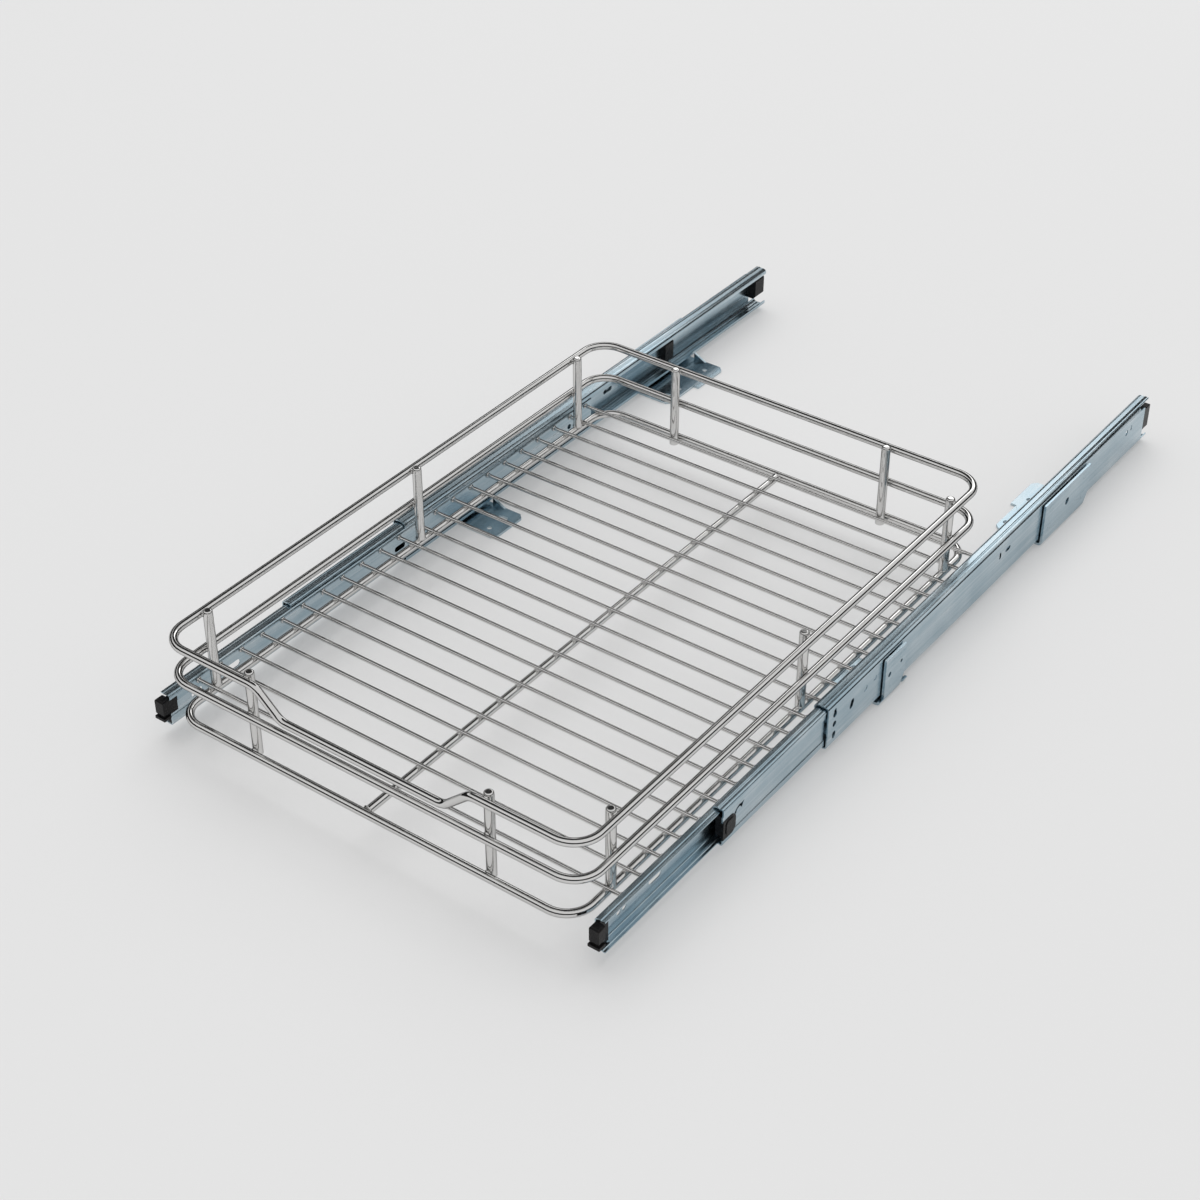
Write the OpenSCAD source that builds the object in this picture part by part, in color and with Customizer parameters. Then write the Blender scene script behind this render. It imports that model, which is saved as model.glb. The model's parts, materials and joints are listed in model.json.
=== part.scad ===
// Pull-out wire basket on two ball-bearing slides that are screwed to a cabinet floor.
// The basket is shown half drawn out. Millimetres, +Z up, +Y into the cabinet, +X right.
// Origin: the middle of the four main screw holes, on the plane that the feet stand on.

/* [Basket] */
// Width between the centre lines of the top rail's two sides
basket_w = 350; // [250:5:450]
// Depth between the centre lines of the rails' front and rear runs
basket_l = 494; // [300:2:560]
// Height of the middle rail above the bottom rail, centre to centre
middle_rail_h = 32; // [24:1:36]
// Height of the top rail above the bottom rail, centre to centre
top_rail_h = 62; // [60:1:120]
// Diameter of the rails' wire
rail_d = 6; // [5:0.5:7]
// Bend radius of the rails' corners, on the centre line
rail_corner_r = 20; // [14:1:40]
// Diameter of the upright posts
post_d = 7; // [5:0.5:8]
// How far the posts stand above the top rail
post_proud = 1.5; // [0.5:0.1:4]
// Distance of the front posts from the middle of the basket
front_post_x = 100; // [96:1:110]
// Distance of the rear posts from the middle of the basket
rear_post_x = 96; // [60:1:120]
// Depth that a weld sinks one wire into another
weld_sink = 0.4; // [0.2:0.05:0.6]

/* [Hand scoop] */
// Distance between the middles of the two bends beside the low run of the top rail
scoop_w = 158; // [80:2:166]
// Drop of the low run below the top rail
scoop_drop = 19; // [12:0.5:20]
// Slope of the two bends
scoop_angle = 42; // [35:1:60]
// Bend radius beside the low run, on the centre line
scoop_bend_r = 12; // [8:0.5:14]

/* [Floor] */
// Diameter of the floor wires
floor_wire_d = 3; // [2.5:0.1:4]
// Distance from one floor wire to the next
floor_wire_pitch = 21.4; // [16:0.2:40]
// Distance of the first floor wire behind the front rail
first_wire_y = 33; // [16:1:45]
// Diameter of the bar under the middle of the floor
centre_bar_d = 6; // [4:0.5:7]

/* [Slides] */
// Length of the member that is fixed to the cabinet
slide_l = 500; // [400:5:600]
// Width of a closed slide
slide_w = 12.7; // [12.7:0.1:16]
// Height of a slide
slide_h = 36; // [34:0.5:46]
// Sheet thickness of the three members
sheet_t = 1; // [0.9:0.05:1.1]
// How far the basket is drawn out in the pose that is modelled
drawn_out = 250; // [50:5:260]
// Gap between the top rail and the slides
basket_gap = 3; // [2:0.5:8]
// Distance of the slides' front end behind the front rail
slide_setback = 5; // [0:1:20]
// Height of the bottom rail above the middle of the slides
rail_above_slide = 5.5; // [4:0.1:7]
// How much shorter the two moving members are than the fixed one
moving_member_short = 14; // [12:1:30]
// Depth of the long pressed recess in the webs
web_recess = 0.6; // [0.3:0.05:0.6]
// Height of the pressed recess in the intermediate member's web
recess_h = 18; // [12:0.5:20]
// Height of the pressed recess in the drawer member's web
drawer_recess_h = 9; // [6:0.5:10]
// Outside radius of the fixed member's folds
cabinet_fold_r = 3; // [2:0.1:3.4]
// Outside radius of the middle member's folds
intermediate_fold_r = 2.2; // [1.6:0.1:2.2]
// Outside radius of the drawer member's folds
drawer_fold_r = 2; // [1.6:0.1:2]

/* [Ball races] */
// Diameter of the balls
ball_d = 2; // [1.8:0.05:2.2]
// Running clearance round each ball
race_clear = 0.1; // [0.05:0.01:0.15]
// Depth of the grooves that the balls run in
groove_depth = 0.4; // [0.3:0.05:0.5]
// Balls in each row
balls_per_row = 8; // [4:1:8]
// Distance from one ball to the next
ball_pitch = 24; // [12:1:24]
// Length of the ball cages
cage_l = 200; // [190:5:210]
// Sheet thickness of the ball cages
cage_t = 0.5; // [0.4:0.05:0.6]
// Gap between a cage and the webs beside it
cage_clear = 0.15; // [0.1:0.01:0.2]

/* [Mounting brackets] */
// Sheet thickness of the brackets
bracket_t = 2; // [1.5:0.1:3]
// Gap between a slide and the feet under it
foot_gap = 2; // [1:0.5:6]
// How far the feet reach inwards beyond the slide
foot_reach = 31; // [28:1:45]
// Distance of the front bracket behind the slide's front end
front_bracket_y = 67; // [50:1:120]
// Length of the front bracket
front_bracket_l = 38; // [36:1:60]
// Distance of the rear bracket behind the slide's front end
rear_bracket_y = 311; // [240:1:390]
// Length of the rear bracket
rear_bracket_l = 76; // [76:1:100]
// Diameter of the screw holes
screw_hole_d = 4.5; // [4:0.1:6]
// End-to-end length of the screw slots
screw_slot_l = 9; // [8:0.5:11]
// Distance of the screw holes from the inner edge of the feet
screw_edge = 12; // [10:0.5:14]
// Diameter of the rivets that hold the brackets
rivet_d = 4; // [3:0.1:5]
// Gap that the bosses round the rivets keep between a bracket's leg and the slide
leg_gap = 0.8; // [0.4:0.1:1.2]

/* [Black plastic parts] */
// How far the front cap stands out in front of the drawer member
cap_front = 6.5; // [5:0.5:12]
// Height of the front cap's block
cap_h = 13.5; // [10:0.5:15]
// Length of the stops inside the slides
stop_l = 12; // [8:0.5:13]
// Height of the stops inside the slides
stop_h = 17; // [12:0.5:18]

/* [Hidden] */

chrome = [0.82, 0.81, 0.79];
zinc = [0.58, 0.66, 0.71];
black = [0.06, 0.06, 0.06];
wire_fn = 32;
hole_fn = 32;
arc_fn = 64;
bend_fn = 96;
ball_fn = 24;
cut = 0.1;                       // how far a cut runs past the face that it opens

bend_lap = 0.05;                 // how far a wire's straights run into its bends
bend_swell = 0.02;               // how much a wire's radius grows in a bend

rail_r = rail_d / 2;
post_r = post_d / 2;
floor_wire_r = floor_wire_d / 2;

// Screw holes, as distances behind the front edge of their bracket
front_hole_y = 9;
hole_to_end = 12;
slot_to_hole = 14;
front_slot_y = front_bracket_l - hole_to_end;
rear_hole_ys = [25, rear_bracket_l - hole_to_end];
rear_slot_ys = [for (y = rear_hole_ys) y - slot_to_hole];

// Places of the members along the slide
cabinet_y = -(front_bracket_y + front_hole_y + rear_bracket_y + rear_hole_ys[1]) / 2;
intermediate_y = cabinet_y - drawn_out / 2;
drawer_y = cabinet_y - drawn_out;
basket_y = drawer_y - slide_setback;
moving_l = slide_l - moving_member_short;
cabinet_end = cabinet_y + slide_l;
intermediate_end = intermediate_y + moving_l;
drawer_end = drawer_y + moving_l;
inner_cage_y = (intermediate_y + drawer_end) / 2;
outer_cage_y = (cabinet_y + intermediate_end) / 2;

// Places across the object and in height
slide_inner_x = basket_w / 2 + rail_r + basket_gap;
slide_outer_x = slide_inner_x + slide_w;
slide_z = bracket_t + foot_gap + slide_h / 2;
rail_z = slide_z + rail_above_slide;
middle_z = rail_z + middle_rail_h;
top_z = rail_z + top_rail_h;
wire_z = rail_z + rail_r + floor_wire_r - weld_sink;
post_inset = rail_r + post_r - weld_sink;
bottom_rail_w = basket_w - 2 * post_inset;
post_top = top_z + rail_r + post_proud;

// Floor wires: as many as fit in front of the rear rail, and the posts that stand between them
last_wire_room = rail_r + floor_wire_r + 6;
floor_wire_n = floor((basket_l - first_wire_y - last_wire_room) / floor_wire_pitch) + 1;
post_to_wire = post_r + floor_wire_r + 0.4;
side_post_ys = [
    basket_y + first_wire_y + post_to_wire,
    basket_y + first_wire_y + (floor(floor_wire_n / 2) - 0.5) * floor_wire_pitch,
    basket_y + first_wire_y + (floor_wire_n - 2) * floor_wire_pitch - post_to_wire
];

// Slide section: u runs inwards from the outer face of the slide, v up from its middle
race_gap = ball_d + 2 * race_clear - 2 * groove_depth;
race_r = ball_d / 2 + race_clear;
web_gap = cage_t + 2 * cage_clear;
lip_clear = 0.5;                 // gap between the lips of two members, and round the cage's strip
lip_drop = 0.4;                  // how far the lips' edges stay above the member inside them
outer_race_in = 3.2;             // distance of the outer races from the intermediate member's web
inner_race_in = 2.4;             // distance of the inner races from the outer ones
fold_clear = 0.4;                // how much tighter a cage's folds are than those of its member
arm_past = 1.5;                  // how far a cage's arms reach past the middle of the balls
cabinet_half = slide_h / 2;
intermediate_half = cabinet_half - sheet_t - race_gap;
drawer_half = intermediate_half - sheet_t - race_gap;
intermediate_u = sheet_t + web_gap;
inner_cage_u = intermediate_u + sheet_t + web_recess + cage_clear;
drawer_tip_u = inner_cage_u + cage_t + lip_clear;
cabinet_in_u = slide_w - lip_clear;
intermediate_in_u = cabinet_in_u - sheet_t - lip_clear;
outer_ball_u = intermediate_u + outer_race_in;
inner_ball_u = outer_ball_u + inner_race_in;
outer_ball_v = cabinet_half - sheet_t - race_gap / 2;
inner_ball_v = intermediate_half - sheet_t - race_gap / 2;
outer_arm_u = outer_ball_u + arm_past;
inner_arm_u = inner_ball_u + arm_past;
recess_root = 0.2;               // how far a pressed recess starts before the face it is pressed in
press_thin = 0.1;                // how much the sheet thins where a groove is pressed in it
foot_in_u = slide_w + foot_reach;
screw_u = foot_in_u - screw_edge;

// Places of the holes punched in the webs: behind the member's front end or, where the name has
// back in it, in front of its rear end
cabinet_hole_y = 8.5;
slant_slot_y = 31;
dimple_ys = [49, 62];
rear_slot_back = 34;
rear_hole_back = 42;
middle_slot_back = 244;
cross_slot_back = 256;
access_slot_y = 150;
access_slot_back = 90;
access_slot_w = 4;
access_slot_l = 12;
drawer_hole_ys = [23, 29];
drawer_slot_y = 62;
drawer_hole_backs = [30, 19];
drawer_hole_d = 4.5;

// Bracket legs and the rivets through them
leg_top = cabinet_half - cabinet_fold_r - 0.2;
foot_clip = 4;
bracket_fold_r = 1.5;            // inside radius of the fold between a bracket's leg and its foot
leg_from = 5;                    // how far the front bracket's leg starts behind its foot
leg_l = 28;
rivet_vs = [-9, 9];
rivet_play = 0.05;
rivet_head_h = 0.8;
rivet_head_d = rivet_d + 2;
rivet_tail_h = 0.4;
rivet_tail_d = rivet_d + 1.2;
boss_d = rivet_head_d + 1;
front_rivet_ys = [for (e = [14, front_bracket_l - 11]) cabinet_y + front_bracket_y + e];
rear_rivet_ys = [for (e = [10, rear_bracket_l - 10]) cabinet_y + rear_bracket_y + e];

// Plastic parts: the cap's tongue passes inside the stops, and the stops snap through a web
plug_t = 2.1;
plug_play = 0.1;
plug_u = slide_w - sheet_t - web_recess - plug_play - plug_t;
front_play = 0.5;                // gap that keeps a stop clear of the piece that it meets
stop_notch_l = 14.5;             // notch in the middle member's web that the front stop fills
stop_notch_r = 4.5;
stop_notch_low = -11;
stop_notch_top = 4;
cap_notch_l = 7;                 // notch in the drawer member's web that the front cap fills
cap_notch_low = -3;
cap_notch_top = 9;
notch_play = 0.1;
pin_y = 9.5;                     // distance of the rear buffer's pin from the member's end
pin_head_d = 8;
pin_d = 4;
pin_play = 0.1;
web_short = 10;                  // how far the fixed member's web is cut back at its rear end
tab_l = 3;                       // length of the bumper's dovetail tab, in the edge of that web
tab_h = 8;
tab_root_h = 5;
tab_play = 0.15;
bumper_in = 0.2;                 // how far the bumper lies behind the web's outer face

// ---------------------------------------------------------------- shapes that repeat

function unit(v) = v / norm(v);

// A straight round rod from a to b
module rod(a, b, r) {
    d = b - a;
    translate(a) rotate([0, acos(d.z / norm(d)), atan2(d.y, d.x)])
        cylinder(r = r, h = norm(d), $fn = wire_fn);
}

// The bend of a round wire at corner p, which arrives along a and leaves along b
module bend(p, a, b, bend_r, r) {
    angle = acos(a * b);
    centre = p + unit(b - a) * bend_r / cos(angle / 2);
    e1 = unit(p - a * bend_r * tan(angle / 2) - centre);
    e3 = unit(cross(a, b));
    e2 = cross(e3, e1);
    multmatrix([
        [e1.x, e2.x, e3.x, centre.x],
        [e1.y, e2.y, e3.y, centre.y],
        [e1.z, e2.z, e3.z, centre.z]
    ])
        rotate_extrude(angle = angle, $fn = bend_fn)
            translate([bend_r, 0]) circle(r = r, $fn = wire_fn);
}

// A closed ring of round wire through the corners in points, each with its own bend radius.
// The straights run a little way into the bends, and the bends are a hair fatter, as in bent wire.
module closed_wire(points, radii, r) {
    n = len(points);
    way = [for (i = [0:n - 1]) unit(points[(i + 1) % n] - points[i])];
    used = [for (i = [0:n - 1]) radii[i] * tan(acos(way[(i + n - 1) % n] * way[i]) / 2) - bend_lap];
    union() {
        for (i = [0:n - 1]) {
            j = (i + 1) % n;
            bend(points[i], way[(i + n - 1) % n], way[i], radii[i], r + bend_swell);
            rod(points[i] + way[i] * used[i], points[j] - way[i] * used[j], r);
        }
    }
}

// An upright post with a rounded top edge
module post(x, y, z0) {
    edge_r = post_r * 0.5;
    translate([x, y, z0]) rotate_extrude($fn = wire_fn) union() {
        square([post_r, post_top - z0 - edge_r]);
        square([post_r - edge_r, post_top - z0]);
        translate([post_r - edge_r, post_top - z0 - edge_r]) intersection() {
            circle(r = edge_r, $fn = wire_fn);
            square(edge_r);
        }
    }
}

// A rectangle from (u0, -half) to (u1, half) with four round corners
module round_rect(u0, u1, half, r) {
    union() {
        translate([u0 + r, -half]) square([u1 - u0 - 2 * r, 2 * half]);
        translate([u0, -half + r]) square([u1 - u0, 2 * half - 2 * r]);
        for (u = [u0 + r, u1 - r], v = [-half + r, half - r])
            translate([u, v]) circle(r = r, $fn = hole_fn);
    }
}

// A trapezium of the given height that a recess takes from a web's face at u, or adds behind it
module recess_2d(u, depth, height) {
    d = abs(depth);
    foot = height / 2 + d;
    translate([u, 0]) mirror([depth < 0 ? 1 : 0, 0]) polygon([
        [-recess_root, -foot], [0, -foot], [d, -height / 2],
        [d, height / 2], [0, foot], [-recess_root, foot]
    ]);
}

// The upper and the lower groove of a race, as circles to cut from a section
module grooves_2d(u, v) {
    for (side = [-1, 1])
        translate([u, side * v]) circle(r = race_r, $fn = hole_fn);
}

// The sheet that a groove pushes out behind it: outwards of the race, or inwards if out is -1
module ridges_2d(u, v, out) {
    ridge_r = race_r + sheet_t - press_thin;
    root = race_gap / 2 + sheet_t / 2;
    for (side = [-1, 1])
        translate([u, side * v]) mirror([0, side * out < 0 ? 1 : 0]) intersection() {
            circle(r = ridge_r, $fn = hole_fn);
            translate([-ridge_r, root]) square([2 * ridge_r, ridge_r]);
        }
}

// Turns a section in (u, v) into a bar along Y that starts at y and has length l
module along_y(y, l) {
    translate([0, y + l, 0]) rotate([90, 0, 0]) linear_extrude(l) children();
}

// Turns an outline in (y, v) into a plate that spans from u0 to u1
module along_u(u0, u1) {
    translate([u0, 0, 0]) rotate([90, 0, 90]) linear_extrude(u1 - u0) children();
}

// A tongue from y0 to y1 and from v0 to v1, with round corners at y1
module tongue_2d(y0, y1, v0, v1, r) {
    union() {
        translate([y0, v0]) square([y1 - r - y0, v1 - v0]);
        translate([y0, v0 + r]) square([y1 - y0, v1 - v0 - 2 * r]);
        for (v = [v0 + r, v1 - r]) translate([y1 - r, v]) circle(r = r, $fn = hole_fn);
    }
}

// A hole along X through a web, centred at (y, v) and running from u0 to u1
module web_hole(u0, u1, y, v, d) {
    translate([u0 - cut, y, v]) rotate([0, 90, 0])
        cylinder(d = d, h = u1 - u0 + 2 * cut, $fn = hole_fn);
}

// A slot through a web, of width d and length l, along Y or turned from it by tilt degrees
module web_slot(u0, u1, y, v, d, l, tilt) {
    reach = (l - d) / 2;
    along_u(u0 - cut, u1 + cut) translate([y, v]) rotate(tilt) union() {
        for (end = [-1, 1]) translate([end * reach, 0]) circle(d = d, $fn = hole_fn);
        translate([-reach, -d / 2]) square([2 * reach, d]);
    }
}

// Puts a slide's own (u, y, v) frame at its place on the left or the right of the basket
module on_side(side) {
    if (side == "left") translate([-slide_outer_x, 0, slide_z]) children();
    else mirror([1, 0, 0]) translate([-slide_outer_x, 0, slide_z]) children();
}

// ---------------------------------------------------------------- basket

function ring(w, z) = [
    [-w / 2, basket_y, z], [w / 2, basket_y, z],
    [w / 2, basket_y + basket_l, z], [-w / 2, basket_y + basket_l, z]
];

module bottom_rail() {
    color(chrome)
        closed_wire(ring(bottom_rail_w, rail_z), [for (i = [0:3]) rail_corner_r], rail_r);
}

module middle_rail() {
    color(chrome)
        closed_wire(ring(basket_w, middle_z), [for (i = [0:3]) rail_corner_r], rail_r);
}

// The top rail dips at the front, so that a hand can reach in
module top_rail() {
    corners = ring(basket_w, top_z);
    slope_w = scoop_drop / tan(scoop_angle);
    high_x = (scoop_w + slope_w) / 2;
    low_x = (scoop_w - slope_w) / 2;
    points = [
        corners[0],
        [-high_x, basket_y, top_z], [-low_x, basket_y, top_z - scoop_drop],
        [low_x, basket_y, top_z - scoop_drop], [high_x, basket_y, top_z],
        corners[1], corners[2], corners[3]
    ];
    c = rail_corner_r;
    s = scoop_bend_r;
    color(chrome) closed_wire(points, [c, s, s, s, s, c, c, c], rail_r);
}

module floor_wires() {
    color(chrome)
        for (i = [0:floor_wire_n - 1]) {
            y = basket_y + first_wire_y + i * floor_wire_pitch;
            rod([-slide_inner_x, y, wire_z], [slide_inner_x, y, wire_z], floor_wire_r);
        }
}

// The bar lies level with the top of the bottom rail and is welded between its two runs
module centre_bar() {
    z = rail_z + rail_r - centre_bar_d / 2;
    end = rail_r - weld_sink;
    color(chrome)
        rod([0, basket_y + end, z], [0, basket_y + basket_l - end, z], centre_bar_d / 2);
}

module side_posts() {
    color(chrome)
        for (side = [-1, 1], y = side_post_ys)
            post(side * (basket_w / 2 - post_inset), y, rail_z + rail_r - weld_sink);
}

module front_posts() {
    color(chrome)
        for (side = [-1, 1]) post(side * front_post_x, basket_y + post_inset, rail_z - rail_r);
}

module rear_posts() {
    color(chrome)
        for (side = [-1, 1]) post(side * rear_post_x, basket_y + basket_l - post_inset, rail_z - rail_r);
}

// ---------------------------------------------------------------- slide members

// Cuts holes, each [y, v, diameter], and slots, each [y, v, width, length, tilt], through a web
module web_cuts(u0, u1, holes, slots) {
    for (h = holes) web_hole(u0, u1, h[0], h[1], h[2]);
    for (s = slots) web_slot(u0, u1, s[0], s[1], s[2], s[3], s[4]);
}

// Fixed member: a channel with its web outside and two deep lips that keep the others in
module cabinet_member(side) {
    notch_l = 18;
    notch_in = 2.4;
    notch_h = 4;
    web_cut_v = cabinet_half - cabinet_fold_r;
    dimple_depth = 0.3;
    lip_v = drawer_half + lip_drop;
    end_y = cabinet_y + cabinet_hole_y;
    holes = [
        [end_y, 0, 4.6], [end_y, 8.5, 5], [end_y, 11.8, 3.2],
        [cabinet_end - rear_hole_back, 6, 4.8]
    ];
    slots = [
        [end_y, -9.5, 4, 6, 90], [cabinet_y + slant_slot_y, 3, 4.2, 8, 70],
        [cabinet_end - rear_slot_back, 7, 2, 5, 90],
        [cabinet_end - middle_slot_back, 6, 3.4, 8, 0],
        [cabinet_end - cross_slot_back, 6, 2.6, 6, 90]
    ];
    dimples = [
        [cabinet_y + dimple_ys[0], 5, 5],
        [cabinet_y + dimple_ys[1], 6, 4]
    ];
    color(zinc) on_side(side) difference() {
        along_y(cabinet_y, slide_l) difference() {
            union() {
                round_rect(0, cabinet_in_u, cabinet_half, cabinet_fold_r);
                ridges_2d(outer_ball_u, outer_ball_v, 1);
            }
            round_rect(sheet_t, cabinet_in_u - sheet_t, cabinet_half - sheet_t, cabinet_fold_r - sheet_t);
            translate([cabinet_in_u - sheet_t - cut, -lip_v]) square([sheet_t + 2 * cut, 2 * lip_v]);
            grooves_2d(outer_ball_u, outer_ball_v);
        }
        web_cuts(0, sheet_t, holes, slots);
        for (y = concat(front_rivet_ys, rear_rivet_ys), v = rivet_vs) rivet(y, v, rivet_play, cut);
        for (d = dimples) web_hole(0, dimple_depth - cut, d[0], d[1], d[2]);
        translate([-cut, cabinet_end - notch_l, cabinet_half - notch_h])
            cube([notch_in + cut, notch_l + cut, notch_h + sheet_t]);
        translate([-cut, cabinet_end - web_short, -web_cut_v])
            cube([sheet_t + 2 * cut, web_short + cut, 2 * web_cut_v]);
        bumper_tab(tab_play);
    }
}

// Middle member: a channel that runs on balls inside the fixed one and carries the drawer member
module intermediate_member(side) {
    lip_v = drawer_half + lip_drop;
    in_u = intermediate_in_u;
    half = intermediate_half;
    web_in = intermediate_u + sheet_t;
    notch_to = intermediate_y + stop_notch_l;
    holes = [[intermediate_end - pin_y, 0, pin_d]];
    slots = [
        for (y = [intermediate_y + access_slot_y, intermediate_end - access_slot_back])
            [y, 0, access_slot_w, access_slot_l, 0]
    ];
    color(zinc) on_side(side) difference() {
        along_y(intermediate_y, moving_l) difference() {
            union() {
                round_rect(intermediate_u, in_u, half, intermediate_fold_r);
                ridges_2d(inner_ball_u, inner_ball_v, 1);
            }
            difference() {
                round_rect(web_in, in_u - sheet_t, half - sheet_t, intermediate_fold_r - sheet_t);
                recess_2d(web_in, web_recess, recess_h);
                ridges_2d(outer_ball_u, outer_ball_v, -1);
            }
            recess_2d(intermediate_u, web_recess, recess_h);
            translate([in_u - sheet_t - cut, -lip_v]) square([sheet_t + 2 * cut, 2 * lip_v]);
            grooves_2d(outer_ball_u, outer_ball_v);
            grooves_2d(inner_ball_u, inner_ball_v);
        }
        web_cuts(intermediate_u, web_in + web_recess, holes, slots);
        along_u(intermediate_u - cut, web_in + web_recess + cut) union() {
            spring_slit_2d(intermediate_y);
            tongue_2d(intermediate_y - cut, notch_to, stop_notch_low, stop_notch_top, stop_notch_r);
        }
    }
}

// The curved slit, with a barbed end, that frees a springy tongue behind the front stop
module spring_slit_2d(y) {
    slit_w = 1.8;
    slit_end_d = slit_w + 0.5;
    arc_r = 6.3;
    arc_to = 153;
    arc_y = 20.5;
    barb_in = 0.3;
    barb_tip = [4.4, 7.4];
    barb_low = [1.8, 2.8];
    way = [cos(arc_to), sin(arc_to)];
    translate([y + arc_y, 0]) union() {
        intersection() {
            difference() {
                circle(r = arc_r + slit_w / 2, $fn = arc_fn);
                circle(r = arc_r - slit_w / 2, $fn = arc_fn);
            }
            polygon([[0, 0], [0, 2 * arc_r], [2 * arc_r * way.x, 2 * arc_r], 2 * arc_r * way]);
        }
        translate(arc_r * way) circle(d = slit_end_d, $fn = hole_fn);
        polygon([[-1.2, arc_r + barb_in], barb_tip, barb_low, [-0.8, arc_r - barb_in]]);
    }
}

// Inner member: a channel with its web towards the basket, which the floor wires are welded to
module drawer_member(side) {
    web_out = slide_w - sheet_t;
    hole_ys = concat(
        [for (y = drawer_hole_ys) drawer_y + y],
        [for (back = drawer_hole_backs) drawer_end - back]
    );
    holes = [for (y = hole_ys) [y, 0, drawer_hole_d]];
    slots = [
        [drawer_y + drawer_slot_y, 0, 5.5, 14, 0],
        [drawer_y + moving_l / 2, 0, drawer_hole_d, 12, 0]
    ];
    color(zinc) on_side(side) difference() {
        along_y(drawer_y, moving_l) difference() {
            round_rect(0, slide_w, drawer_half, drawer_fold_r);
            difference() {
                round_rect(-slide_w, web_out, drawer_half - sheet_t, drawer_fold_r - sheet_t);
                recess_2d(web_out, -web_recess, drawer_recess_h);
                ridges_2d(inner_ball_u, inner_ball_v, -1);
            }
            recess_2d(slide_w, -web_recess, drawer_recess_h);
            translate([-cut, -drawer_half - cut])
                square([drawer_tip_u + cut, 2 * drawer_half + 2 * cut]);
            grooves_2d(inner_ball_u, inner_ball_v);
        }
        web_cuts(web_out - web_recess, slide_w, holes, slots);
        translate([web_out - web_recess - cut, drawer_y - cut, cap_notch_low])
            cube([sheet_t + web_recess + 2 * cut, cap_notch_l + cut, cap_notch_top - cap_notch_low]);
    }
}

// ---------------------------------------------------------------- ball races

// A cage: a strip beside the web with two arms, each drilled for one row of balls
module cage(side, y, web_u, arm_u, ball_u, ball_v, fold_r) {
    half = ball_v + cage_t / 2;
    window_l = ball_pitch * 0.6;
    window_h = half;
    color(zinc) on_side(side) difference() {
        along_y(y - cage_l / 2, cage_l) difference() {
            round_rect(web_u, arm_u + fold_r, half, fold_r);
            round_rect(web_u + cage_t, arm_u + 2 * fold_r, half - cage_t, fold_r - cage_t);
            translate([arm_u, -half - cut]) square([2 * fold_r, 2 * half + 2 * cut]);
        }
        for (by = ball_ys(y), v = [-1, 1])
            translate([ball_u, by, v * ball_v - cage_t])
                cylinder(d = ball_d + race_clear, h = 2 * cage_t, $fn = hole_fn);
        for (by = ball_ys(y))
            translate([web_u - cut, by - window_l / 2, -window_h / 2])
                cube([cage_t + 2 * cut, window_l, window_h]);
    }
}

// The outside radius of a cage's folds, inside a member whose folds have the outside radius r
function cage_fold(r) = max(r - sheet_t - fold_clear, cage_t + cut);

function ball_ys(y) = [for (i = [0:balls_per_row - 1]) y + (i - (balls_per_row - 1) / 2) * ball_pitch];

module balls(side, y, ball_u, ball_v) {
    color(chrome) on_side(side)
        for (by = ball_ys(y), v = [-1, 1])
            translate([ball_u, by, v * ball_v]) sphere(d = ball_d, $fn = ball_fn);
}

module inner_cage(side) {
    cage(side, inner_cage_y, inner_cage_u, inner_arm_u, inner_ball_u, inner_ball_v,
        cage_fold(intermediate_fold_r));
}

module outer_cage(side) {
    cage(side, outer_cage_y, sheet_t + cage_clear, outer_arm_u, outer_ball_u, outer_ball_v,
        cage_fold(cabinet_fold_r));
}

module inner_balls(side) { balls(side, inner_cage_y, inner_ball_u, inner_ball_v); }

module outer_balls(side) { balls(side, outer_cage_y, outer_ball_u, outer_ball_v); }

// ---------------------------------------------------------------- brackets

// An angle of sheet: a leg beside the slide's outer face and a foot that passes under the slide
module angle_2d() {
    foot_v = -slide_z;
    out_r = bracket_t + bracket_fold_r;
    face_u = -leg_gap - bracket_t;
    difference() {
        union() {
            translate([face_u, foot_v + out_r]) square([bracket_t, leg_top - foot_v - out_r]);
            translate([face_u + out_r, foot_v]) square([foot_in_u - face_u - out_r, bracket_t]);
            translate([face_u + out_r, foot_v + out_r]) intersection() {
                circle(r = out_r, $fn = arc_fn);
                translate([-out_r, -out_r]) square(out_r);
            }
        }
        translate([face_u + out_r, foot_v + out_r])
            circle(r = out_r - bracket_t, $fn = arc_fn);
    }
}

// The pressed bosses round a leg's rivets, which the slide's web lies against
module bosses(ys) {
    for (y = ys, v = rivet_vs)
        along_u(-leg_gap - cut, 0) translate([y, v]) circle(d = boss_d, $fn = hole_fn);
}

// A small ear folded up from the end of a foot, against the slide's lower edge
module foot_ear(y) {
    ear_u = slide_w + 1;
    ear_l = 12;
    ear_h = foot_gap + 4;
    translate([0, y, bracket_t - slide_z]) rotate([90, 0, 0]) linear_extrude(bracket_t)
        polygon([[ear_u, -cut], [ear_u + ear_l, -cut], [ear_u, ear_h]]);
}

module foot_hole(y) {
    translate([screw_u, y, -slide_z - cut])
        cylinder(d = screw_hole_d, h = bracket_t + 2 * cut, $fn = hole_fn);
}

// A slot across the slide, which lets a screw be set sideways
module foot_slot(y) {
    reach = (screw_slot_l - screw_hole_d) / 2;
    translate([screw_u, y, -slide_z - cut]) linear_extrude(bracket_t + 2 * cut) union() {
        for (end = [-1, 1]) translate([end * reach, 0]) circle(d = screw_hole_d, $fn = hole_fn);
        translate([-reach, -screw_hole_d / 2]) square([2 * reach, screw_hole_d]);
    }
}

// A clipped corner of a foot, as a triangular bar along Z
module corner_clip(u, y, turn) {
    translate([u, y, -slide_z - cut]) rotate(turn) linear_extrude(bracket_t + 2 * cut)
        polygon([[-cut, -cut], [foot_clip, -cut], [-cut, foot_clip]]);
}

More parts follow.
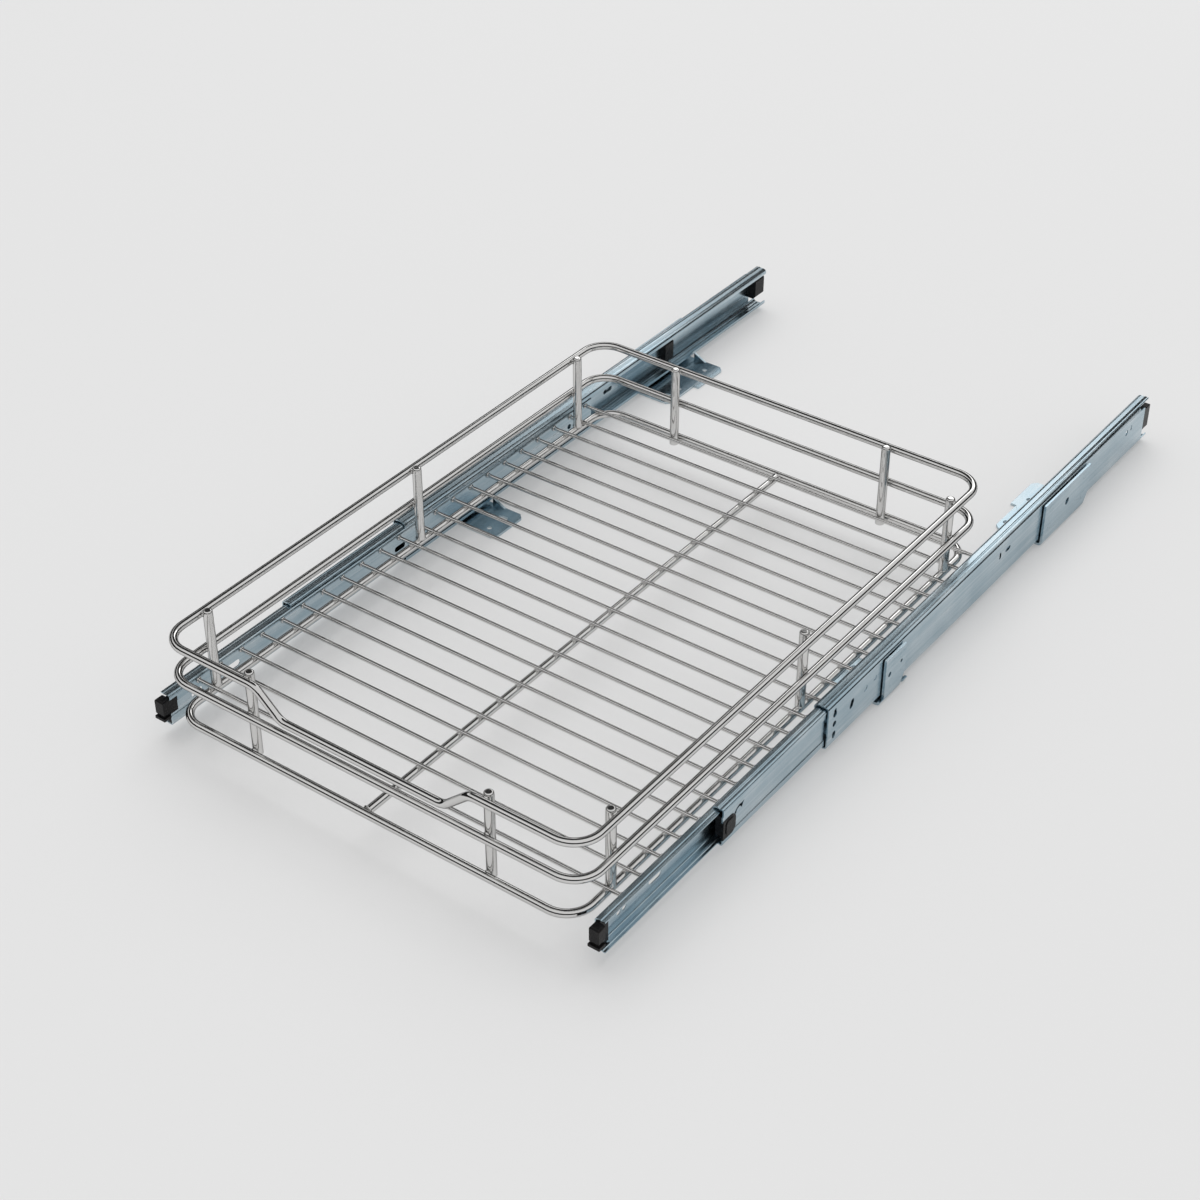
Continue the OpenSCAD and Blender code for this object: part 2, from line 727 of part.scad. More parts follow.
// The clipped rear lower corner of a leg that ends at y, which takes the end of the fold with it
module leg_clip(y) {
    clip_y = 8;
    clip_h = 12;
    translate([-leg_gap - bracket_t - cut, y, -slide_z]) rotate([90, 0, 90])
        linear_extrude(bracket_t + sheet_t + cut)
            polygon([[-clip_y, -cut], [cut, -cut], [cut, clip_h]]);
}

module front_bracket(side) {
    y0 = cabinet_y + front_bracket_y;
    y1 = y0 + front_bracket_l;
    leg_y0 = y0 + leg_from;
    leg_y1 = leg_y0 + leg_l;
    face_u = -leg_gap - bracket_t;
    leg_low = bracket_t + bracket_fold_r - slide_z;
    leg_holes = [[6, 0, 4], [22, 2.5, 3]];
    color(zinc) on_side(side) difference() {
        union() {
            along_y(y0, front_bracket_l) angle_2d();
            bosses(front_rivet_ys);
            foot_ear(y1);
        }
        for (span = [[y0, leg_y0], [leg_y1, y1]])
            translate([face_u - cut, span[0] - cut, leg_low])
                cube([bracket_t + 2 * cut, span[1] - span[0] + 2 * cut, slide_h]);
        foot_hole(y0 + front_hole_y);
        foot_slot(y0 + front_slot_y);
        corner_clip(foot_in_u, y0, 90);
        corner_clip(foot_in_u, y1, 180);
        for (y = front_rivet_ys, v = rivet_vs) rivet(y, v, rivet_play, cut);
        for (h = leg_holes) web_hole(face_u, -leg_gap, leg_y0 + h[0], h[1], h[2]);
        leg_clip(leg_y1);
    }
}

module rear_bracket(side) {
    y0 = cabinet_y + rear_bracket_y;
    y1 = y0 + rear_bracket_l;
    step_l = 37;
    step_in = 5;
    sight_hole_d = 6;
    face_u = -leg_gap - bracket_t;
    color(zinc) on_side(side) difference() {
        union() {
            along_y(y0, rear_bracket_l) angle_2d();
            bosses(rear_rivet_ys);
            foot_ear(y1);
        }
        for (y = rear_hole_ys) foot_hole(y0 + y);
        for (y = rear_slot_ys) foot_slot(y0 + y);
        translate([foot_in_u - step_in, y0 - cut, -slide_z - cut])
            cube([step_in + cut, step_l + cut, bracket_t + 2 * cut]);
        corner_clip(foot_in_u - step_in, y0, 90);
        corner_clip(foot_in_u, y1, 180);
        for (y = rear_rivet_ys, v = rivet_vs) rivet(y, v, rivet_play, cut);
        web_hole(face_u, -leg_gap, (y0 + y1) / 2, 0, sight_hole_d);
        leg_clip(y1);
    }
}

// Rivets that are set flush in the leg's outer face and in the inside of the slide's web
module bracket_rivets(side) {
    color(zinc) on_side(side)
        for (y = concat(front_rivet_ys, rear_rivet_ys), v = rivet_vs) rivet(y, v, 0, 0);
}

// A rivet with a flat head and tail, larger all round by play and longer at both ends by past
module rivet(y, v, play, past) {
    l = bracket_t + leg_gap + sheet_t;
    translate([-bracket_t - leg_gap, y, v]) rotate([0, 90, 0]) union() {
        translate([0, 0, -past])
            cylinder(d = rivet_head_d + 2 * play, h = rivet_head_h + past, $fn = hole_fn);
        cylinder(d = rivet_d + 2 * play, h = l, $fn = hole_fn);
        translate([0, 0, l - rivet_tail_h])
            cylinder(d = rivet_tail_d + 2 * play, h = rivet_tail_h + past, $fn = hole_fn);
    }
}

// ---------------------------------------------------------------- black plastic parts

// Cap on the drawer member's front end: a block with a wider base in front of the channel, a
// tongue inside it and a key that fills the notch in its web
module front_cap(side) {
    block_r = 2;
    block_u = drawer_tip_u;
    block_end_u = slide_w - 0.4;
    block_w = block_end_u - block_u;
    block_top = 11;
    block_v = block_top - cap_h / 2;
    front_y = drawer_y - cap_front;
    neck_in = 0.7;
    neck_h = 1;
    base_h = 2.2;
    base_out = 0.6;
    base_low = block_top - cap_h - neck_h - base_h;
    tongue_l = 9;
    tongue_half = drawer_half - sheet_t - 1.2;
    key_y1 = drawer_y + cap_notch_l - notch_play;
    color(black) on_side(side) union() {
        translate([0, 0, block_v]) intersection() {
            along_y(front_y, cap_front) round_rect(block_u, block_end_u, cap_h / 2, block_r);
            along_u(block_u - cut, block_end_u + cut)
                round_rect(front_y, drawer_y + 2 * block_r, cap_h / 2, block_r);
        }
        translate([block_u + neck_in, front_y + neck_in, base_low + cut])
            cube([block_w - 2 * neck_in, cap_front - neck_in - front_play, cap_h / 2]);
        translate([block_u - base_out, front_y - base_out, base_low])
            cube([block_w + 2 * base_out, cap_front + base_out - front_play, base_h]);
        translate([plug_u, drawer_y - cut, -tongue_half])
            cube([plug_t, tongue_l + cut, 2 * tongue_half]);
        along_u(plug_u + cut, block_end_u)
            translate([drawer_y - cut, cap_notch_low + notch_play])
                square([key_y1 - drawer_y + cut, cap_notch_top - cap_notch_low - 2 * notch_play]);
    }
}

// The block of a stop inside the middle member, from y on
module stop_block(y) {
    block_r = 1.2;
    along_y(y, stop_l)
        round_rect(intermediate_u + sheet_t + web_recess, plug_u - front_play, stop_h / 2, block_r);
}

// Stop at the front end of the middle member. Its plate fills the notch in the web, and a rim and
// the block grip the web's edge from both sides.
module front_stop(side) {
    web_in = intermediate_u + sheet_t + web_recess;
    plate_u = intermediate_u + 0.15;
    pad_u = intermediate_u - 0.4;
    rim_u = intermediate_u + web_recess - 0.4;
    rim = 0.7;
    pad_r = 3.4;
    pad_from = 3;
    pad_back = 1.3;
    pad_half = 6.2;
    front_y = intermediate_y + front_play;
    notch_end = intermediate_y + stop_notch_l;
    p = notch_play;
    color(black) on_side(side) union() {
        stop_block(front_y);
        along_u(plate_u, web_in + cut)
            tongue_2d(front_y, notch_end - p, stop_notch_low + p, stop_notch_top - p, stop_notch_r - p);
        along_u(rim_u, intermediate_u + web_recess) intersection() {
            tongue_2d(front_y, notch_end + rim, stop_notch_low - rim, stop_notch_top + rim,
                stop_notch_r + rim);
            translate([front_y, p - recess_h / 2]) square([2 * stop_notch_l, recess_h]);
        }
        along_u(pad_u, plate_u + cut) translate([0, (stop_notch_low + stop_notch_top) / 2])
            round_rect(front_y + pad_from, notch_end - pad_back, pad_half, pad_r);
    }
}

// Buffer at the rear end of the middle member, snapped through its web by a headed pin
module rear_buffer(side) {
    y = intermediate_end - pin_y;
    color(black) on_side(side) union() {
        stop_block(intermediate_end - stop_l - front_play);
        along_u(intermediate_u, intermediate_u + web_recess)
            translate([y, 0]) circle(d = pin_head_d, $fn = hole_fn);
        along_u(intermediate_u, intermediate_u + web_recess + sheet_t + cut)
            translate([y, 0]) circle(d = pin_d - 2 * pin_play, $fn = hole_fn);
    }
}

// The dovetail tab that holds the bumper to the edge of the web, larger by play all round
module bumper_tab(play) {
    edge_y = cabinet_end - web_short;
    tip = [edge_y - tab_l - play, tab_h / 2 + play];
    root = [edge_y + tab_play + cut, tab_root_h / 2 + play];
    translate([bumper_in - play, 0, 0]) rotate([90, 0, 90]) linear_extrude(sheet_t + cut - bumper_in + play)
        polygon([[tip.x, -tip.y], [root.x, -root.y], [root.x, root.y], [tip.x, tip.y]]);
}

// Bumper in the rear end of the fixed member, which the middle member runs up to
module rear_bumper(side) {
    bumper_out = 0.5;
    bumper_y = cabinet_end - moving_member_short + front_play;
    face_y = cabinet_end - web_short + tab_play;
    corner = 2.5;
    bumper_back = 2.4;
    u0 = sheet_t;
    u1 = slide_w - bumper_back;
    low = -stop_h / 2 + 1;
    high = stop_h / 2 + 4;
    color(black) on_side(side) union() {
        along_y(bumper_y, cabinet_end + bumper_out - bumper_y) polygon([
            [u0, low], [u1 - corner, low], [u1, low + corner],
            [u1, high - corner], [u1 - corner, high], [u0, high]
        ]);
        translate([bumper_in, face_y, low])
            cube([sheet_t + cut - bumper_in, cabinet_end + bumper_out - face_y, high - low]);
        bumper_tab(0);
    }
}

bottom_rail();
middle_rail();
top_rail();
floor_wires();
centre_bar();
side_posts();
front_posts();
rear_posts();
drawer_member("left");  // left_drawer_member
drawer_member("right");  // right_drawer_member
intermediate_member("left");  // left_intermediate_member
intermediate_member("right");  // right_intermediate_member
cabinet_member("left");  // left_cabinet_member
cabinet_member("right");  // right_cabinet_member
inner_cage("left");  // left_inner_cage
inner_cage("right");  // right_inner_cage
inner_balls("left");  // left_inner_balls
inner_balls("right");  // right_inner_balls
outer_cage("left");  // left_outer_cage
outer_cage("right");  // right_outer_cage
outer_balls("left");  // left_outer_balls
outer_balls("right");  // right_outer_balls
front_bracket("left");  // left_front_bracket
front_bracket("right");  // right_front_bracket
rear_bracket("left");  // left_rear_bracket
rear_bracket("right");  // right_rear_bracket
bracket_rivets("left");  // left_bracket_rivets
bracket_rivets("right");  // right_bracket_rivets
front_cap("left");  // left_front_cap
front_cap("right");  // right_front_cap
front_stop("left");  // left_front_stop
front_stop("right");  // right_front_stop
rear_buffer("left");  // left_rear_buffer
rear_buffer("right");  // right_rear_buffer
rear_bumper("left");  // left_rear_bumper
rear_bumper("right");  // right_rear_bumper
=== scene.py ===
"""Looks for the pull-out cabinet basket: metals, black plastic, weld beads, studio and camera."""

import json
import math

import bmesh
import bpy
from mathutils import Matrix, Vector


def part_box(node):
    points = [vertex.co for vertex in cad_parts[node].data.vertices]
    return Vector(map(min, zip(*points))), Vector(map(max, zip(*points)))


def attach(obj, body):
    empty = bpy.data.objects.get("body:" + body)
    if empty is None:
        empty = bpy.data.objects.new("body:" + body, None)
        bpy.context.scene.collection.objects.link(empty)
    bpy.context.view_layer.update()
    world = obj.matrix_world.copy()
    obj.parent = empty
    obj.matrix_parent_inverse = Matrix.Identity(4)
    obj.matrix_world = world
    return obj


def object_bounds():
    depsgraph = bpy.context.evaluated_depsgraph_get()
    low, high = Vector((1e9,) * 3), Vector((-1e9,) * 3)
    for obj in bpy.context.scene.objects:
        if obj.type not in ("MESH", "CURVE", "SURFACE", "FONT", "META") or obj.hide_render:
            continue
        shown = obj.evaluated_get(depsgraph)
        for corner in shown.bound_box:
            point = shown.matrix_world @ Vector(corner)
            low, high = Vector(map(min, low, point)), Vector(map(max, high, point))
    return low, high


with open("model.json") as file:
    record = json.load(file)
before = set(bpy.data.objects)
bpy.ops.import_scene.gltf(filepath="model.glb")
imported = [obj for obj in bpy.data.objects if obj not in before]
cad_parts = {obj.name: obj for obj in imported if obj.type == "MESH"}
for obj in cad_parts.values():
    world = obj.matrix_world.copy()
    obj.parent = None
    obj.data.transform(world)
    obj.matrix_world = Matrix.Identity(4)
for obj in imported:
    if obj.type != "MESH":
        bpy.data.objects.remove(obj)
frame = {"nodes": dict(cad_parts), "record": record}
cad_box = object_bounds()
nodes = frame["nodes"]
scene = bpy.context.scene
MM = 0.001


# ---------------------------------------------------------------- shader helpers
# Here tree is the node collection of a material or of the world, and links its links.

NOISE_RANGE = (0.3, 0.7)


def new_material(name):
    """A node material with its Principled shader, as (material, tree, links, shader)."""
    material = bpy.data.materials.new(name)
    material.use_nodes = True
    graph = material.node_tree
    return material, graph.nodes, graph.links, graph.nodes["Principled BSDF"]


def object_coords(tree, links, scale=(1, 1, 1)):
    """Object coordinates stretched by scale, so that a noise can run along one axis."""
    coords = tree.new("ShaderNodeTexCoord")
    mapping = tree.new("ShaderNodeMapping")
    mapping.inputs["Scale"].default_value = scale
    links.new(coords.outputs["Object"], mapping.inputs["Vector"])
    return mapping.outputs["Vector"]


def noise(tree, links, vector, scale, detail):
    """A noise texture's value, with about scale grains to a metre of the vector."""
    texture = tree.new("ShaderNodeTexNoise")
    texture.inputs["Scale"].default_value = scale
    texture.inputs["Detail"].default_value = detail
    links.new(vector, texture.inputs["Vector"])
    return texture.outputs["Fac"]


def ramp(tree, links, value, stops):
    """A colour ramp with stops of (position, colour)."""
    node = tree.new("ShaderNodeValToRGB")
    elements = node.color_ramp.elements
    while len(elements) < len(stops):
        elements.new(0.5)
    for element, (position, colour) in zip(elements, stops):
        element.position = position
        element.color = (*colour, 1.0)
    links.new(value, node.inputs["Fac"])
    return node.outputs["Color"]


def spread(tree, links, value, low, high):
    """A noise's value, mapped from the range where most of it lies to low .. high."""
    node = tree.new("ShaderNodeMapRange")
    node.inputs["From Min"].default_value = NOISE_RANGE[0]
    node.inputs["From Max"].default_value = NOISE_RANGE[1]
    node.inputs["To Min"].default_value = low
    node.inputs["To Max"].default_value = high
    links.new(value, node.inputs["Value"])
    return node.outputs["Result"]


def blend(tree, links, a, b, share):
    """Two values mixed, with that share of b."""
    node = tree.new("ShaderNodeMix")
    node.inputs["Factor"].default_value = share
    links.new(a, node.inputs["A"])
    links.new(b, node.inputs["B"])
    return node.outputs["Result"]


def bump(tree, links, height, strength, distance):
    """A bump from a height value."""
    node = tree.new("ShaderNodeBump")
    node.inputs["Strength"].default_value = strength
    node.inputs["Distance"].default_value = distance
    links.new(height, node.inputs["Height"])
    return node.outputs["Normal"]


# ---------------------------------------------------------------- materials

CHROME_TINT = (0.73, 0.725, 0.715)
BALL_TINT = (0.66, 0.67, 0.69)
EDGE_TINT = (0.30, 0.30, 0.30, 1.0)    # darkens the mirror at a grazing view
CHROME_ROUGHNESS = (0.06, 0.11)
ZINC_ROUGHNESS = (0.19, 0.29)
PLASTIC_ROUGHNESS = (0.20, 0.32)
ZINC_STRETCH = (330, 7, 330)           # the streaks are long in Y, the way that the slides run
ZINC_COLOURS = [
    (0.32, (0.34, 0.455, 0.525)),
    (0.50, (0.45, 0.555, 0.615)),
    (0.68, (0.62, 0.695, 0.735)),
]
CLOUDS_IN_ZINC = 0.45
PLASTIC_COLOURS = [
    (0.3, (0.006, 0.006, 0.007)),
    (0.7, (0.012, 0.011, 0.011)),
]


def chrome(name, tint):
    """Bright plate or polish: a mirror with a little haze that comes and goes."""
    material, tree, links, shader = new_material(name)
    shader.inputs["Metallic"].default_value = 1.0
    shader.inputs["Specular Tint"].default_value = EDGE_TINT
    vector = object_coords(tree, links)
    haze = noise(tree, links, vector, scale=260, detail=4)
    cloud = noise(tree, links, vector, scale=14, detail=2)
    darker = tuple(0.95 * c for c in tint)
    colour = ramp(tree, links, cloud, [(0.35, darker), (0.65, tint)])
    links.new(colour, shader.inputs["Base Color"])
    links.new(spread(tree, links, haze, *CHROME_ROUGHNESS), shader.inputs["Roughness"])
    return material


def zinc():
    """Blue-passivated zinc on rolled sheet, with fine streaks that run along the slide."""
    material, tree, links, shader = new_material("blue_zinc")
    shader.inputs["Metallic"].default_value = 1.0
    streaks = noise(tree, links, object_coords(tree, links, ZINC_STRETCH), scale=1, detail=2)
    clouds = noise(tree, links, object_coords(tree, links), scale=26, detail=3)
    mixed = blend(tree, links, streaks, clouds, CLOUDS_IN_ZINC)
    links.new(ramp(tree, links, mixed, ZINC_COLOURS), shader.inputs["Base Color"])
    links.new(spread(tree, links, mixed, *ZINC_ROUGHNESS), shader.inputs["Roughness"])
    relief = bump(tree, links, streaks, strength=0.02, distance=0.2 * MM)
    links.new(relief, shader.inputs["Normal"])
    return material


def black_plastic():
    """Moulded black nylon with a fine satin grain."""
    material, tree, links, shader = new_material("black_nylon")
    vector = object_coords(tree, links)
    grain = noise(tree, links, vector, scale=1400, detail=2)
    cloud = noise(tree, links, vector, scale=160, detail=2)
    links.new(ramp(tree, links, cloud, PLASTIC_COLOURS), shader.inputs["Base Color"])
    shader.inputs["Specular IOR Level"].default_value = 0.15
    links.new(spread(tree, links, cloud, *PLASTIC_ROUGHNESS), shader.inputs["Roughness"])
    relief = bump(tree, links, grain, strength=0.12, distance=0.1 * MM)
    links.new(relief, shader.inputs["Normal"])
    return material


# The finish of each material slot in the record
MATERIALS = {
    "chrome_wire": chrome("bright_chrome", CHROME_TINT),
    "zinc_steel": zinc(),
    "ball_steel": chrome("ball_steel", BALL_TINT),
    "black_plastic": black_plastic(),
}
# The width and segments of the rounding on each slot's sharp edges
ROUNDINGS = {
    "zinc_steel": (0.18 * MM, 2),
    "black_plastic": (0.45 * MM, 3),
}
WELD_WITHIN = 0.002 * MM
SHARP_FROM = math.radians(40)


def round_edges(thing, width, segments):
    """Joins the mesh's faces and rounds its sharp edges, as a pressed or moulded edge is."""
    weld = thing.modifiers.new("joined", "WELD")
    weld.merge_threshold = WELD_WITHIN
    edge = thing.modifiers.new("rounded", "BEVEL")
    edge.width = width
    edge.segments = segments
    edge.limit_method = "ANGLE"
    edge.angle_limit = SHARP_FROM
    edge.harden_normals = True
    edge.miter_outer = "MITER_ARC"


def dress_cad_nodes():
    """Gives each CAD node its slot's finish, and rounds the edges of sheet and plastic."""
    for entry in frame["record"]["subparts"]:
        thing = nodes[entry["node"]]
        slot = entry["material_slot"]
        thing.data.materials.clear()
        thing.data.materials.append(MATERIALS[slot])
        if slot in ROUNDINGS:
            round_edges(thing, *ROUNDINGS[slot])


# ---------------------------------------------------------------- weld beads

STEPS_PER_METRE = 1e5    # a node's corners that round to the same 0.01 mm count as one
BEAD_SEGMENTS = 14
BEAD_RINGS = 8
# Waves round a bead's outline: (their number, their height, how far a seed shifts them)
BEAD_WAVES = ((2, 0.07, 1.0), (3, 0.05, 2.3))


def solids_of(node):
    """The boxes (low, high) of the separate solids in a CAD node, from front to back."""
    mesh = nodes[node].data
    matrix = nodes[node].matrix_world
    places = [matrix @ v.co for v in mesh.vertices]
    keys = [tuple(round(c * STEPS_PER_METRE) for c in p) for p in places]
    leader = {key: key for key in keys}

    def find(key):
        while leader[key] != key:
            leader[key] = leader[leader[key]]
            key = leader[key]
        return key

    for polygon in mesh.polygons:
        first = find(keys[polygon.vertices[0]])
        for index in polygon.vertices[1:]:
            leader[find(keys[index])] = first
    groups = {}
    for place, key in zip(places, keys):
        groups.setdefault(find(key), []).append(place)
    boxes = []
    for group in groups.values():
        axes = list(zip(*group))
        boxes.append((Vector(map(min, axes)), Vector(map(max, axes))))
    return sorted(boxes, key=lambda b: (b[0].y, b[0].x))


def middle(low, high):
    """The middle of a box."""
    return (Vector(low) + Vector(high)) / 2


def rail_radius():
    """The radius of the rings' wire: half the height of the bottom ring, which is flat."""
    low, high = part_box("bottom_rail")
    return (high[2] - low[2]) / 2


def add_bead(mesh, place, normal, reach, depth, seed):
    """An uneven drop of weld metal at place: reach is across normal, and depth along it."""
    turn = Vector(normal).to_track_quat("Z", "Y").to_matrix().to_4x4()
    matrix = Matrix.Translation(place) @ turn @ Matrix.Diagonal((reach, reach, depth, 1.0))
    made = bmesh.ops.create_uvsphere(
        mesh, u_segments=BEAD_SEGMENTS, v_segments=BEAD_RINGS, radius=1.0)
    for vertex in made["verts"]:
        angle = math.atan2(vertex.co.y, vertex.co.x)
        waves = [h * math.sin(n * angle + shift * seed) for n, h, shift in BEAD_WAVES]
        wobble = sum(waves, 1.0)
        vertex.co.x *= wobble
        vertex.co.y *= wobble
        vertex.co = matrix @ vertex.co


def finish_piece(mesh, name, body, slot):
    """Turns a bmesh into a smooth object that rides on the body, with the slot's finish."""
    for face in mesh.faces:
        face.smooth = True
    data = bpy.data.meshes.new(name)
    mesh.to_mesh(data)
    mesh.free()
    thing = bpy.data.objects.new(name, data)
    scene.collection.objects.link(thing)
    data.materials.append(MATERIALS[slot])
    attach(thing, body)


def post_beads():
    """Beads where the posts touch the rings, and at the side posts' feet."""
    mesh = bmesh.new()
    bottom, centre = middle(*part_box("bottom_rail")), middle(*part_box("middle_rail"))
    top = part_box("top_rail")[1][2]    # not its middle, which the dip at the front lowers
    heights = [bottom.z, centre.z, top - rail_radius()]
    reach, depth = 2.9 * MM, 1.5 * MM
    foot_in, foot_over, foot_depth = 0.3 * MM, 0.5 * MM, 1.1 * MM
    seed = 0
    for node in ("front_posts", "rear_posts"):
        for low, high in solids_of(node):
            place = (low + high) / 2
            toward = -1 if place.y < centre.y else 1
            post_r = (high.x - low.x) / 2
            for z in heights:
                spot = (place.x, place.y + toward * post_r, z)
                add_bead(mesh, spot, (0, toward, 0), reach, depth, seed)
                seed += 1
    for low, high in solids_of("side_posts"):
        place = (low + high) / 2
        toward = -1 if place.x < 0 else 1
        post_r = (high.x - low.x) / 2
        for z in heights[1:]:
            spot = (place.x + toward * post_r, place.y, z)
            add_bead(mesh, spot, (toward, 0, 0), reach, depth, seed)
            seed += 1
        spot = (place.x, place.y, low.z + foot_in)
        add_bead(mesh, spot, (0, 0, 1), post_r + foot_over, foot_depth, seed)
        seed += 1
    finish_piece(mesh, "post_welds", "basket", "chrome_wire")


def floor_beads():
    """Beads where the floor wires cross the bottom rail and the centre bar."""
    mesh = bmesh.new()
    low_corner, high_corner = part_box("bottom_rail")
    bar_x = middle(*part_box("centre_bar")).x
    runs = [low_corner[0] + rail_radius(), bar_x, high_corner[0] - rail_radius()]
    reach, depth, sunk = 2.1 * MM, 0.9 * MM, 0.35 * MM
    for i, (low, high) in enumerate(solids_of("floor_wires")):
        y = (low.y + high.y) / 2
        for j, x in enumerate(runs):
            add_bead(mesh, (x, y, low.z + sunk), (0, 0, 1), reach, depth, 3 * i + j)
    finish_piece(mesh, "floor_welds", "basket", "chrome_wire")


def end_beads():
    """Beads where the floor wires meet the drawer members, and at the centre bar's ends."""
    mesh = bmesh.new()
    wire_reach, wire_depth, wire_in = 2.3 * MM, 1.0 * MM, 0.5 * MM
    bar_reach, bar_depth, bar_in = 3.7 * MM, 1.2 * MM, 0.6 * MM
    for i, (low, high) in enumerate(solids_of("floor_wires")):
        place = (low + high) / 2
        for x, toward in ((low.x, 1), (high.x, -1)):
            spot = (x + toward * wire_in, place.y, place.z)
            add_bead(mesh, spot, (toward, 0, 0), wire_reach, wire_depth, i + x)
    for low, high in solids_of("centre_bar"):
        place = (low + high) / 2
        for y, toward in ((low.y, 1), (high.y, -1)):
            spot = (place.x, y + toward * bar_in, place.z)
            add_bead(mesh, spot, (0, toward, 0), bar_reach, bar_depth, y)
    finish_piece(mesh, "end_welds", "basket", "chrome_wire")


# ---------------------------------------------------------------- studio and camera
# Places of the card and the strip lamp are (degrees from +Y towards +X, degrees above the
# horizon, metres from the origin).

FLOOR_SIZE = 24.0
FLOOR_GREY = 0.80
FLOOR_SEEN = 0.80        # the unshaded floor's level, as the camera and the metal see it
FLOOR_LIFT = 0.28        # the share of that level in what they see, which softens the shadow
WORLD_STRENGTH = 0.62
WORLD_SEEN = 0.80        # the world's level, as the camera and the metal see it
BAND_RADIUS = 3.2
BAND_SPAN = (0.02, 1.6)  # its lowest and highest z
BAND_GREY = 0.02
CARD_PLACE = (-60, 62, 3.5)
CARD_RADIUS = 2.0
CARD_GREY = 0.05
ROUND_VERTICES = 64
SUN_LEVEL = 1.15
SUN_ANGLE = math.radians(66)
SUN_FROM = (-0.28, 0.42, 1.0)
STRIP_PLACE = (-20, 36, 3.0)
STRIP_SIZE = (1.9, 0.55)
STRIP_LEVEL = 1.4
CAMERA_PLACE = (0.7748, -1.2771, 1.0097)
CAMERA_TILT = math.radians(53.62)
CAMERA_TURN = math.radians(36.34)
LENS = 68.13             # mm, as Blender takes it
SENSOR_WIDTH = 36.0      # mm


def flat_material(name, grey):
    """A plain matt material, as (material, tree, links, shader)."""
    material, tree, links, shader = new_material(name)
    shader.inputs["Base Color"].default_value = (grey, grey, grey, 1.0)
    shader.inputs["Roughness"].default_value = 0.9
    shader.inputs["Specular IOR Level"].default_value = 0.1
    return material, tree, links, shader


def seen_directly(tree, links):
    """1 for camera, glossy and transmission rays, and 0 for all others."""
    path = tree.new("ShaderNodeLightPath")
    seen = path.outputs["Is Camera Ray"]
    for ray in ("Is Glossy Ray", "Is Transmission Ray"):
        either = tree.new("ShaderNodeMath")
        either.operation = "MAXIMUM"
        links.new(seen, either.inputs[0])
        links.new(path.outputs[ray], either.inputs[1])
        seen = either.outputs[0]
    return seen


def add_floor():
    """A plain pale floor under the feet, with a soft shadow."""
    bpy.ops.mesh.primitive_plane_add(size=FLOOR_SIZE, location=(0, 0, cad_box[0][2]))
    floor = bpy.context.object
    floor.name = "floor"
    material, tree, links, shader = flat_material("pale_floor", FLOOR_GREY)
    glow = tree.new("ShaderNodeEmission")
    glow.inputs["Color"].default_value = (FLOOR_SEEN, FLOOR_SEEN, FLOOR_SEEN, 1.0)
    share = tree.new("ShaderNodeMath")
    share.operation = "MULTIPLY"
    share.inputs[1].default_value = FLOOR_LIFT
    links.new(seen_directly(tree, links), share.inputs[0])
    mixed = tree.new("ShaderNodeMixShader")
    links.new(share.outputs[0], mixed.inputs["Fac"])
    links.new(shader.outputs[0], mixed.inputs[1])
    links.new(glow.outputs[0], mixed.inputs[2])
    links.new(mixed.outputs[0], tree["Material Output"].inputs["Surface"])
    floor.data.materials.append(material)


def show_in_reflections(thing, name, grey):
    """Makes a studio card that shows in reflections alone and casts no shadow."""
    thing.name = name
    thing.data.materials.append(flat_material(name, grey)[0])
    thing.visible_camera = False
    thing.visible_shadow = False
    thing.visible_diffuse = False


def stand_off(thing, place):
    """Puts a card or a lamp at its place, and turns it to the origin."""
    azimuth, elevation, distance = math.radians(place[0]), math.radians(place[1]), place[2]
    way = Vector((
        math.sin(azimuth) * math.cos(elevation),
        math.cos(azimuth) * math.cos(elevation),
        math.sin(elevation)))
    thing.location = way * distance
    thing.rotation_euler = way.to_track_quat("Z", "Y").to_euler()


def add_band():
    """A dark band round the whole set, which draws dark lines on the metal."""
    low, high = BAND_SPAN
    bpy.ops.mesh.primitive_cylinder_add(
        vertices=ROUND_VERTICES, radius=BAND_RADIUS, depth=high - low, end_fill_type="NOTHING",
        location=(0, 0, (low + high) / 2))
    show_in_reflections(bpy.context.object, "studio_band", BAND_GREY)


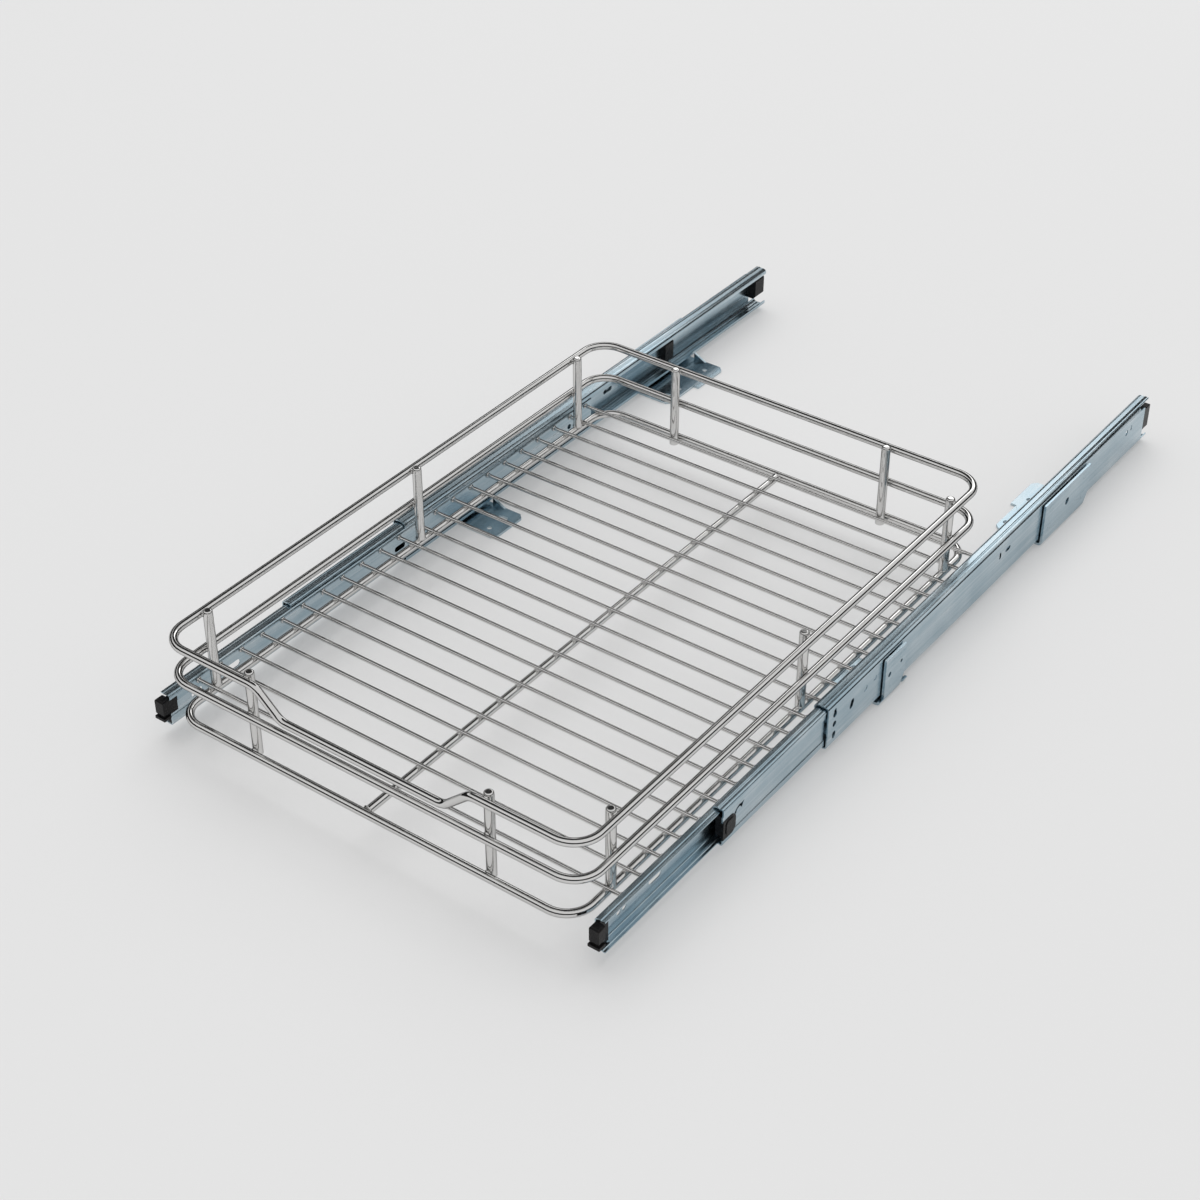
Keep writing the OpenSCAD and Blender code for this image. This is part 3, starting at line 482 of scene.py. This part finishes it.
def add_card():
    """A round dark card high up on the left, for dark lines that the band doesn't draw."""
    bpy.ops.mesh.primitive_circle_add(
        vertices=ROUND_VERTICES, radius=CARD_RADIUS, fill_type="NGON")
    card = bpy.context.object
    stand_off(card, CARD_PLACE)
    show_in_reflections(card, "studio_card", CARD_GREY)


def add_world():
    """An even pale studio. Camera, glossy and transmission rays see it as pale as the floor."""
    world = bpy.data.worlds.new("studio")
    scene.world = world
    world.use_nodes = True
    tree, links = world.node_tree.nodes, world.node_tree.links
    background = tree["Background"]
    background.inputs["Color"].default_value = (1.0, 1.0, 1.0, 1.0)
    strength = tree.new("ShaderNodeMapRange")
    strength.inputs["To Min"].default_value = WORLD_STRENGTH
    strength.inputs["To Max"].default_value = WORLD_SEEN
    links.new(seen_directly(tree, links), strength.inputs["Value"])
    links.new(strength.outputs["Result"], background.inputs["Strength"])


def add_sun():
    """A broad soft key light from high behind the set, which the metal doesn't mirror."""
    light = bpy.data.lights.new("key", "SUN")
    light.energy = SUN_LEVEL
    light.angle = SUN_ANGLE
    lamp = bpy.data.objects.new("key", light)
    lamp.rotation_euler = Vector(SUN_FROM).to_track_quat("Z", "Y").to_euler()
    lamp.visible_glossy = False
    scene.collection.objects.link(lamp)


def add_strip():
    """A flat soft lamp behind the set, which also draws bright lines on the metal."""
    width, height = STRIP_SIZE
    light = bpy.data.lights.new("back_strip", "AREA")
    light.shape = "RECTANGLE"
    light.size, light.size_y = width, height
    light.energy = STRIP_LEVEL * math.pi * width * height
    lamp = bpy.data.objects.new("back_strip", light)
    stand_off(lamp, STRIP_PLACE)
    scene.collection.objects.link(lamp)


def add_camera():
    """The camera that looks as the photograph does."""
    camera = bpy.data.objects.new("camera", bpy.data.cameras.new("camera"))
    camera.data.lens = LENS
    camera.data.sensor_width = SENSOR_WIDTH
    camera.location = CAMERA_PLACE
    camera.rotation_euler = (CAMERA_TILT, 0.0, CAMERA_TURN)
    scene.collection.objects.link(camera)
    scene.camera = camera


dress_cad_nodes()
post_beads()
floor_beads()
end_beads()
add_floor()
add_band()
add_card()
add_world()
add_sun()
add_strip()
add_camera()
scene.view_settings.view_transform = "Standard"
